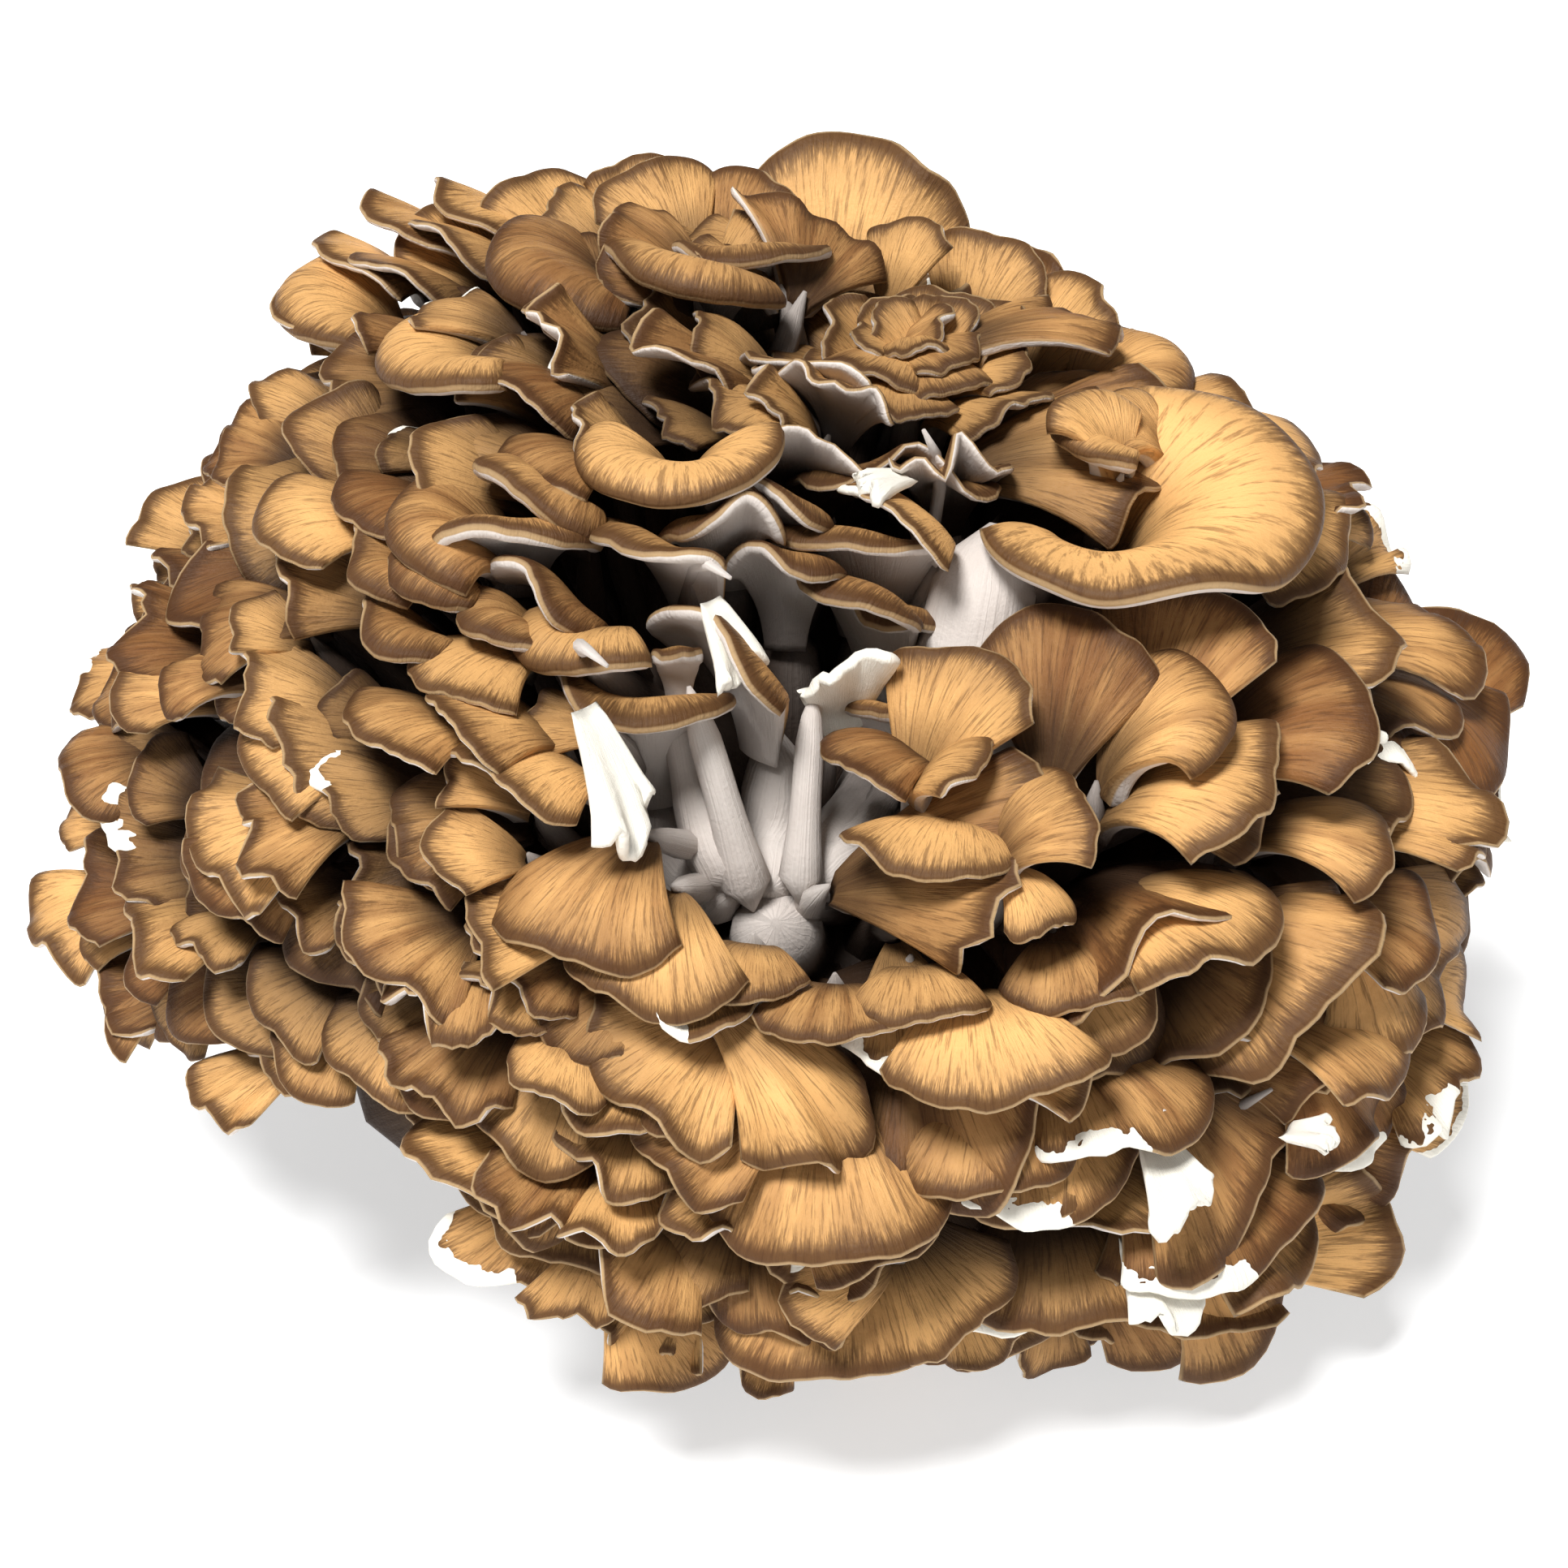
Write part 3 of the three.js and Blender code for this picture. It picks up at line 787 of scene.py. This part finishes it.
def add_frond(skin, placed):
    """Adds a frond's two sheets to a skin, and returns the foot of its funnel's axis."""
    frond = placed.frond
    u, v, top, bottom = frond_sheets(frond)
    frame = placed.frame()
    middle = (top + bottom) / 2
    anchor = middle[int(frond.hold * frond.rows), (frond.columns + 2) // 2]
    if frond.by_axis:
        anchor = np.array((-frond.stalk, 0, anchor[2]))
    moved = [rested((sheet - anchor) @ frame.T + placed.point) for sheet in (top, bottom)]
    inner = (slice(1, -1), slice(1, -1))
    points = np.concatenate((moved[0].reshape(-1, 3), moved[1][inner].reshape(-1, 3)))
    border = np.ones_like(u)
    border[(0, -1), :] = 0.5
    border[:, (0, -1)] = 0.5
    along = np.concatenate((u.ravel(), u[inner].ravel()))
    across = np.concatenate((v.ravel(), v[inner].ravel()))
    side = np.concatenate((border.ravel(), np.zeros(u[inner].size)))
    # the last value is the depth under the skin, scaled by the frond's shade, for painted shade
    values = (along, across, side, frond.tone, frond.torn, frond.shade * depth_below(points))
    skin.add(points, values, sheet_faces(*u.shape))
    return placed.point - anchor @ frame.T - placed.facing * frond.stalk


def ring_faces(count, sides):
    """One sheet for a closed surface made of count rings with an even number of sides. Each
    end is closed by a strip of quads laid across its ring."""
    index = np.arange(count * sides).reshape(count, sides)
    index = np.concatenate((index, index[:, :1]), axis=1)
    tile = tile_grid(count, sides + 1)
    step = np.arange(sides // 2 - 1)
    strip = np.stack((step, step + 1, sides - 2 - step, sides - 1 - step), axis=1)
    quads, places = [
        np.concatenate((cells(grid, TUBE_QUAD), grid[0][strip[:, ::-1]], grid[-1][strip]))
        for grid in (index, tile)
    ]
    return [(quads, places)]


def add_rings(skin, rings, shade):
    """Adds a closed surface of pale flesh from its rings, an array (count, sides, 3), with painted
    shade from its depth, scaled by shade.
    """
    count, sides = rings.shape[:2]
    points = rings.reshape(-1, 3)
    across = np.tile(np.linspace(-0.9, 0.9, sides), count)
    values = (0.2, across, 0.0, 0.5, 0.0, shade * depth_below(points))
    skin.add(points, values, ring_faces(count, sides))


def add_tube(skin, path, radii, sides, shade):
    """Adds a closed tube: rings of the given radii carried along a path, square to it. Each
    ring's circle is spanned by two cross products, the first with a way the path doesn't run."""
    tangent = np.gradient(path, axis=0)
    tangent /= np.linalg.norm(tangent, axis=1, keepdims=True)
    aside = (0.3, 0.9, 0.31) if abs(tangent[0][1]) < 0.8 else (0.9, 0.1, 0.3)
    first = np.cross(tangent, aside)
    first /= np.linalg.norm(first, axis=1, keepdims=True)
    second = np.cross(tangent, first)
    turn = np.linspace(0, 2 * math.pi, sides, endpoint=False)
    ring = np.cos(turn)[None, :, None] * first[:, None, :]
    ring = ring + np.sin(turn)[None, :, None] * second[:, None, :]
    rings = rested(path[:, None, :] + ring * np.asarray(radii)[:, None, None])
    add_rings(skin, rings, shade)


def curve_points(start, control, end, count):
    """A quadratic curve from start to end, pulled towards control."""
    t = np.linspace(0, 1, count)[:, None]
    return (1 - t) ** 2 * start + 2 * t * (1 - t) * control + t**2 * end


# ---------------------------------------------------------------- materials

# Sockets of a Mix node for colours.
MIX_INPUTS = (0, 6, 7)
MIX_RESULT = 2


def add_node(tree, kind, inputs=None, **settings):
    """A new node with its settings, and each input given a value or linked to a socket."""
    node = tree.nodes.new(kind)
    for name, value in settings.items():
        setattr(node, name, value)
    for name, value in (inputs or {}).items():
        if isinstance(value, bpy.types.NodeSocket):
            tree.links.new(value, node.inputs[name])
        else:
            node.inputs[name].default_value = value
    return node


def sums(tree, operation, first, second=0.0, third=0.0):
    """The result of one Math node."""
    node = add_node(tree, "ShaderNodeMath", {0: first, 1: second, 2: third}, operation=operation)
    return node.outputs[0]


def times(tree, first, second):
    return sums(tree, "MULTIPLY", first, second)


def eased(tree, value, low, high):
    """0 where value is at low or past it, 1 where it is at high or past it, with a cubic ease
    between them. High may be less than low."""
    node = add_node(
        tree,
        "ShaderNodeMapRange",
        {"Value": value, "From Min": low, "From Max": high},
        interpolation_type="SMOOTHSTEP",
    )
    return node.outputs["Result"]


def blended(tree, share, first, second):
    """The first colour where share is 0 and the second where it is 1."""
    values = [x if isinstance(x, bpy.types.NodeSocket) else (*x, 1) for x in (first, second)]
    inputs = dict(zip(MIX_INPUTS, (share, *values)))
    return add_node(tree, "ShaderNodeMix", inputs, data_type="RGBA").outputs[MIX_RESULT]


def noise(tree, vector, scale, detail, roughness=0.55):
    """Smooth noise between 0 and 1."""
    node = add_node(
        tree,
        "ShaderNodeTexNoise",
        {"Vector": vector, "Scale": scale, "Detail": detail, "Roughness": roughness},
    )
    return node.outputs["Fac"]


def new_material(name, roughness, specular):
    """A material with its node tree and its shader node."""
    material = bpy.data.materials.new(name)
    material.use_nodes = True
    tree = material.node_tree
    shader = tree.nodes["Principled BSDF"]
    shader.inputs["Roughness"].default_value = roughness
    shader.inputs["Specular IOR Level"].default_value = specular
    return material, tree, shader


def stripe_places(tree, marks):
    """Places in which noise makes streaks along the blade: many steps across it for each one
    along it. The tone moves them on, so that no two fronds have the same streaks."""
    steps = {
        "X": times(tree, marks["across"], 13.0),
        "Y": times(tree, marks["along"], 1.6),
        "Z": times(tree, marks["tone"], 57.0),
    }
    return add_node(tree, "ShaderNodeCombineXYZ", steps).outputs[0]


def top_colour(tree, marks, colours, place, stripes, fine):
    """Brown to golden by tone and noise, under five layers: dark streaks, a soft darkening
    towards the rim, a dark band whose inner edge is made of dashes, painted shade on the
    inner part of the darker fronds towards the root, where the frond above covers it, and a
    thin cream line on the rim."""
    along, across, tone = (marks[name] for name in ("along", "across", "tone"))
    broad = noise(tree, stripes, 0.45, 2.0)
    mottle = noise(tree, place, 55.0, 3.0)
    golden = sums(tree, "MULTIPLY_ADD", broad, 0.9, times(tree, tone, 1.1))
    golden = sums(tree, "MULTIPLY_ADD", mottle, 0.5, golden)
    colour = blended(tree, eased(tree, golden, 0.60, 1.62), colours.brown, colours.golden)
    dashes = eased(tree, noise(tree, stripes, 5.4, 3.0, 0.7), 0.34, 0.66)
    band_start = sums(tree, "MULTIPLY_ADD", dashes, 0.13, 0.76)
    # painted shade: each frond darkens towards its root, where the frond above covers it, more on
    # darker fronds
    inner = times(tree, eased(tree, along, 0.70, 0.26), eased(tree, tone, 1.6, 0.0))
    side_line = eased(tree, sums(tree, "ABSOLUTE", across), 0.978, 0.996)
    line = sums(tree, "MAXIMUM", eased(tree, along, 0.982, 0.997), side_line)
    layers = (
        (eased(tree, fine, 0.50, 0.64), 0.52, colours.band),
        (eased(tree, along, 0.55, 0.90), 0.36, colours.band),
        (eased(tree, along, band_start, 0.955), 0.90, colours.band),
        (inner, 0.85, colours.painted_shade),
        (line, 0.58, colours.cream),
    )
    for share, strength, layer in layers:
        colour = blended(tree, times(tree, share, strength), colour, layer)
    return colour


def torn_share(tree, marks, place):
    """1 where white flesh shows: past a ragged line on one side of a frond whose torn value
    is 1, and all over one whose torn value is 2."""
    ragged = noise(tree, place, 90.0, 3.0, 0.6)
    start = sums(tree, "MULTIPLY_ADD", ragged, 0.55, 0.62)
    one_side = eased(tree, marks["across"], 0.35, -0.15)
    broken = sums(tree, "GREATER_THAN", times(tree, marks["along"], one_side), start)
    edge = times(tree, broken, eased(tree, marks["torn"], 0.4, 0.9))
    return sums(tree, "MAXIMUM", edge, eased(tree, marks["torn"], 1.4, 1.6))


def frond_material(colours):
    """Striped top, pale patchy underside and torn flesh, with painted shade that grows with
    depth under the skin. Streaks and pores make the relief, and the streaks are rougher."""
    material, tree, shader = new_material("frond_flesh", 0.55, 0.18)
    marks = {
        name: add_node(tree, "ShaderNodeAttribute", attribute_name=name).outputs["Fac"]
        for name in Skin.NAMES
    }
    place = add_node(tree, "ShaderNodeTexCoord").outputs["Object"]
    stripes = stripe_places(tree, marks)
    fine = noise(tree, stripes, 2.6, 4.0, 0.65)
    pores = noise(tree, place, 900.0, 2.0)
    patches = noise(tree, place, 40.0, 3.0)
    top = top_colour(tree, marks, colours, place, stripes, fine)
    under = blended(tree, patches, colours.under, colours.under_shade)
    colour = blended(tree, eased(tree, marks["side"], 0.40, 0.55), under, top)
    # painted shade: the deeper under the skin a point lies, the more it takes the near-black shade
    # colour
    shade = times(tree, eased(tree, marks["deep"], -0.12, 0.34), 0.97)
    colour = blended(tree, shade, colour, colours.painted_shade)
    colour = blended(tree, torn_share(tree, marks, place), colour, colours.flesh)
    rough = sums(tree, "ADD", 0.46, times(tree, fine, 0.22))
    relief = sums(tree, "ADD", times(tree, fine, 0.8), times(tree, pores, 0.35))
    bump = add_node(
        tree, "ShaderNodeBump", {"Height": relief, "Strength": 0.55, "Distance": 0.0011}
    )
    tree.links.new(colour, shader.inputs["Base Color"])
    tree.links.new(rough, shader.inputs["Roughness"])
    tree.links.new(bump.outputs["Normal"], shader.inputs["Normal"])
    return material


# ---------------------------------------------------------------- properties


def colour_property(name, description, default):
    """A colour of three parts, each from 0 to 1."""
    return bpy.props.FloatVectorProperty(
        name=name, description=description, subtype="COLOR", default=default, min=0, max=1
    )


class MaitakeColours(bpy.types.PropertyGroup):
    """Colours of the flesh"""

    golden: colour_property("Golden", "Lightest part of a frond's top", (0.87, 0.485, 0.178))
    brown: colour_property("Brown", "Usual colour of a frond's top", (0.245, 0.100, 0.030))
    band: colour_property("Band", "Dark band inside the rim", (0.062, 0.024, 0.008))
    cream: colour_property("Cream", "Thin line along the rim", (0.66, 0.45, 0.23))
    under: colour_property("Underside", "Pale underside and stalks", (0.80, 0.745, 0.69))
    under_shade: colour_property("Underside shade", "Greyer patches below", (0.60, 0.52, 0.47))
    flesh: colour_property("Flesh", "Torn white flesh", (0.90, 0.86, 0.76))
    # painted shade: near-black brown laid on parts deep between the fronds and on covered frond
    # roots, where shade falls
    painted_shade: colour_property("Hollow", "Darkness deep between the fronds", (0.030, 0.015, 0.008))


class MaitakeSizes(bpy.types.PropertyGroup):
    """Numbers and width of the fronds that are spread over the cluster"""

    frond_count: bpy.props.IntProperty(
        name="Fronds", description="Fronds spread over the egg before gaps", default=1000, min=50
    )
    frond_width: bpy.props.FloatProperty(
        name="Frond width",
        description="Width of a usual frond",
        default=USUAL_WIDTH,
        min=0.01,
        unit="LENGTH",
    )
    under_count: bpy.props.IntProperty(
        name="Inner fronds", description="Smaller fronds deeper in", default=300, min=0
    )
    seed: bpy.props.IntProperty(name="Seed", description="Layout of the fronds", default=7)


# ---------------------------------------------------------------- operators

HUB_SHARE = 0.48  # how far out a spray's stalks part, as a share of the egg's reach
# Radii along a branch from its start to its end.
BRANCH_RADII = (0.001, 0.026, 0.027, 0.026, 0.028, 0.022, 0.001)
STALK_RADIUS = 0.008  # least radius of a stalk's lower part
STALK_POINTS = 9
THIN_NECK = 0.005  # stalks with a neck narrower than this have fewer sides
STEM_FILL = 0.93  # the stem's plain radius in its CAD box, which its lobes add to
STEM_SIDES = 64
# Heights and widths up the stem, as shares of its height and of its plain radius.
STEM_HEIGHTS = np.array((0, 0, 0.02, 0.1, 0.25, 0.45, 0.66, 0.84, 0.96, 1.0))
STEM_WIDTHS = np.array((0.2, 0.88, 0.97, 0.98, 0.9, 0.86, 0.98, 0.86, 0.5, 0.1))


def spray_ways():
    """Each spray's direction from the egg's centre to its CAD box's middle."""
    boxes = np.array([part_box(name) for name in SPRAY_NODES])
    return np.array([unit(middle - EGG_CENTRE) for middle in boxes.mean(axis=1)])


def sorted_by_spray(placed, ways):
    """The fronds of each spray: those nearest to its direction from the egg's centre."""
    groups = [[] for _ in ways]
    for item in placed:
        groups[int(np.argmax(ways @ unit(item.point - EGG_CENTRE)))].append(item)
    return groups


def add_branch(skin, way, hub):
    """Adds a spray's branch, from the middle of the cluster to a little past its hub."""
    start = EGG_CENTRE * (1, 1, 0.8) + way * 0.02
    path = curve_points(start, (start + hub) / 2, hub + way * 0.03, len(BRANCH_RADII))
    add_tube(skin, path, BRANCH_RADII, 14, 1.0)


def add_bare_stems(skin):
    """Adds the bare stems seen in the open places, each pulled up a little between its ends."""
    for foot, tip, thick in BARE_STEMS:
        start, _ = egg_spot(*foot)
        end, _ = egg_spot(*tip)
        control = (start + end) / 2 + 0.05 * (end - start)[2] * UP
        path = curve_points(start, control, end, len(BARE_STEM_PROFILE))
        add_tube(skin, path, thick * BARE_STEM_PROFILE, 18, 0.6)


def add_stalk(skin, item, root, hub):
    """Adds a frond's stalk. It starts at the spray's hub, or for a frond of the pit near the
    pit's foot, comes up along the funnel's axis and narrows to the neck at the root."""
    frond = item.frond
    neck = frond.neck
    foot = PIT_FOOT + 0.25 * (root - PIT_FOOT) * (1, 0, 0) if frond.pit else hub
    path = curve_points(foot, root - item.axis * 0.03, root + item.axis * 0.006, STALK_POINTS)
    wide = max(neck, STALK_RADIUS)
    radii = (0.001, wide, *np.linspace(wide, neck, 4), neck, 0.8 * neck, 0.0005)
    add_tube(skin, path, radii, 8 if neck < THIN_NECK else 14, frond.shade)


def finish_piece(skin, name, material, node):
    """Makes the skin's object, which stands for a node of the frame and rides on its body."""
    piece = skin.mesh_object(name, material)
    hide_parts(node)
    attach(piece, BODY)


class MAITAKE_OT_sprays(bpy.types.Operator):
    """Builds every spray of fronds with its branch and stalks"""

    bl_idname = "maitake.sprays"
    bl_label = "Sprays of fronds"

    def execute(self, context):
        sizes = context.scene.maitake_sizes
        material = frond_material(context.scene.maitake_colours)
        heroes = hero_fronds()
        fronds = heroes + field_fronds(sizes, heroes) + undergrowth(sizes)
        ways = spray_ways()
        for name, way, group in zip(SPRAY_NODES, ways, sorted_by_spray(fronds, ways)):
            skin = Skin()
            hub = EGG_CENTRE + way * egg_reach(way) * HUB_SHARE
            add_branch(skin, way, hub)
            if name == PIT_NODE:
                add_bare_stems(skin)
            for item in group:
                root = add_frond(skin, item)
                add_stalk(skin, item, root, hub)
            finish_piece(skin, name + "_fronds", material, name)
        return {"FINISHED"}


class MAITAKE_OT_stem(bpy.types.Operator):
    """Builds the thick stem with its flat cut foot"""

    bl_idname = "maitake.stem"
    bl_label = "Stem"

    def execute(self, context):
        low, high = np.array(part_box(STEM_NODE))
        radius = (high[0] - low[0]) / 2 * STEM_FILL
        turn = np.linspace(0, 2 * math.pi, STEM_SIDES, endpoint=False)
        lobes = 1 + 0.07 * np.sin(5 * turn + 0.6) + 0.04 * np.sin(3 * turn + 2)
        ring = np.stack((np.cos(turn), np.sin(turn), 0 * turn), axis=-1) * lobes[:, None]
        foot = np.array((*(low + high)[:2] / 2, low[2]))
        centres = foot + STEM_HEIGHTS[:, None] * (high[2] - low[2]) * UP
        rings = centres[:, None, :] + ring[None] * (STEM_WIDTHS * radius)[:, None, None]
        skin = Skin()
        add_rings(skin, rings, 0.3)
        material = bpy.data.materials["frond_flesh"]
        finish_piece(skin, "stem_base_flesh", material, STEM_NODE)
        return {"FINISHED"}


# ---------------------------------------------------------------- stage

FLOOR_HALF = 20.0
FLOOR_CORNERS = ((-1, -1), (1, -1), (1, 1), (-1, 1))
FLOOR_DROP = 0.0005  # how far it lies under the flat foot, so that the two don't meet
FLOOR_GREY = 0.72
FLOOR_GLOW = 0.58
WORLD_STRENGTH = 0.21
WHITE = (1, 1, 1, 1)
KEY_PLACE = (-0.26, -0.42, 1.0)  # the sun shines from here towards the origin
KEY_STRENGTH = 4.8
KEY_WIDTH = 18  # degrees that the sun's disc is across
CAMERA_LENS = 85
CAMERA_SENSOR = 36
CAMERA_TILT = 33  # degrees that it looks down
CAMERA_TARGET = Vector((0, 0, 0.116))
CAMERA_DISTANCE = 0.95


def add_floor():
    """A wide pale floor, which glows a little so that it stays almost white."""
    corners = [(x * FLOOR_HALF, y * FLOOR_HALF, -FLOOR_DROP) for x, y in FLOOR_CORNERS]
    mesh = bpy.data.meshes.new("floor")
    mesh.from_pydata(corners, [], [range(len(corners))])
    material, _, shader = new_material("floor_white", 0.9, 0.1)
    shader.inputs["Base Color"].default_value = (FLOOR_GREY, FLOOR_GREY, FLOOR_GREY, 1)
    shader.inputs["Emission Color"].default_value = WHITE
    shader.inputs["Emission Strength"].default_value = FLOOR_GLOW
    mesh.materials.append(material)
    floor = bpy.data.objects.new("floor", mesh)
    bpy.context.scene.collection.objects.link(floor)


def add_aimed(name, data, place, target):
    """An object for a light or camera, at its place and turned to its target."""
    item = bpy.data.objects.new(name, data)
    item.location = place
    item.rotation_euler = (target - Vector(place)).to_track_quat("-Z", "Y").to_euler()
    bpy.context.scene.collection.objects.link(item)
    return item


def add_lights(scene):
    """A white world all round, and one soft sun from the front, high up and to the left."""
    world = bpy.data.worlds.new("studio")
    world.use_nodes = True
    background = world.node_tree.nodes["Background"]
    background.inputs["Color"].default_value = WHITE
    background.inputs["Strength"].default_value = WORLD_STRENGTH
    scene.world = world
    key = bpy.data.lights.new("key", "SUN")
    key.angle = math.radians(KEY_WIDTH)
    key.energy = KEY_STRENGTH
    add_aimed("key", key, KEY_PLACE, Vector((0, 0, 0)))


def add_camera(scene):
    """A camera in front of the cluster that looks down on it."""
    camera = bpy.data.cameras.new("camera")
    camera.lens = CAMERA_LENS
    camera.sensor_width = CAMERA_SENSOR
    tilt = math.radians(CAMERA_TILT)
    place = CAMERA_TARGET + Vector((0, -math.cos(tilt), math.sin(tilt))) * CAMERA_DISTANCE
    scene.camera = add_aimed("camera", camera, place, CAMERA_TARGET)


class MAITAKE_OT_stage(bpy.types.Operator):
    """Builds the floor, lights and camera"""

    bl_idname = "maitake.stage"
    bl_label = "Floor, lights and camera"

    def execute(self, context):
        add_floor()
        add_lights(context.scene)
        add_camera(context.scene)
        context.scene.view_settings.view_transform = "Standard"
        return {"FINISHED"}


class MAITAKE_PT_panel(bpy.types.Panel):
    """Lists the steps that build the cluster"""

    bl_idname = "MAITAKE_PT_panel"
    bl_label = "Maitake"
    bl_space_type = "VIEW_3D"
    bl_region_type = "UI"
    bl_category = "Maitake"

    def draw(self, context):
        layout = self.layout
        for operator in OPERATORS:
            layout.operator(operator.bl_idname)


OPERATORS = (MAITAKE_OT_sprays, MAITAKE_OT_stem, MAITAKE_OT_stage)
CLASSES = (MaitakeColours, MaitakeSizes, *OPERATORS, MAITAKE_PT_panel)


def register():
    """Registers the classes and gives the scene their properties."""
    for item in CLASSES:
        bpy.utils.register_class(item)
    bpy.types.Scene.maitake_colours = bpy.props.PointerProperty(type=MaitakeColours)
    bpy.types.Scene.maitake_sizes = bpy.props.PointerProperty(type=MaitakeSizes)


def unregister():
    """Takes back what register does."""
    del bpy.types.Scene.maitake_sizes
    del bpy.types.Scene.maitake_colours
    for item in reversed(CLASSES):
        bpy.utils.unregister_class(item)


def main():
    """Builds everything."""
    register()
    bpy.ops.maitake.sprays()
    bpy.ops.maitake.stem()
    bpy.ops.maitake.stage()


if __name__ == "__main__":
    main()
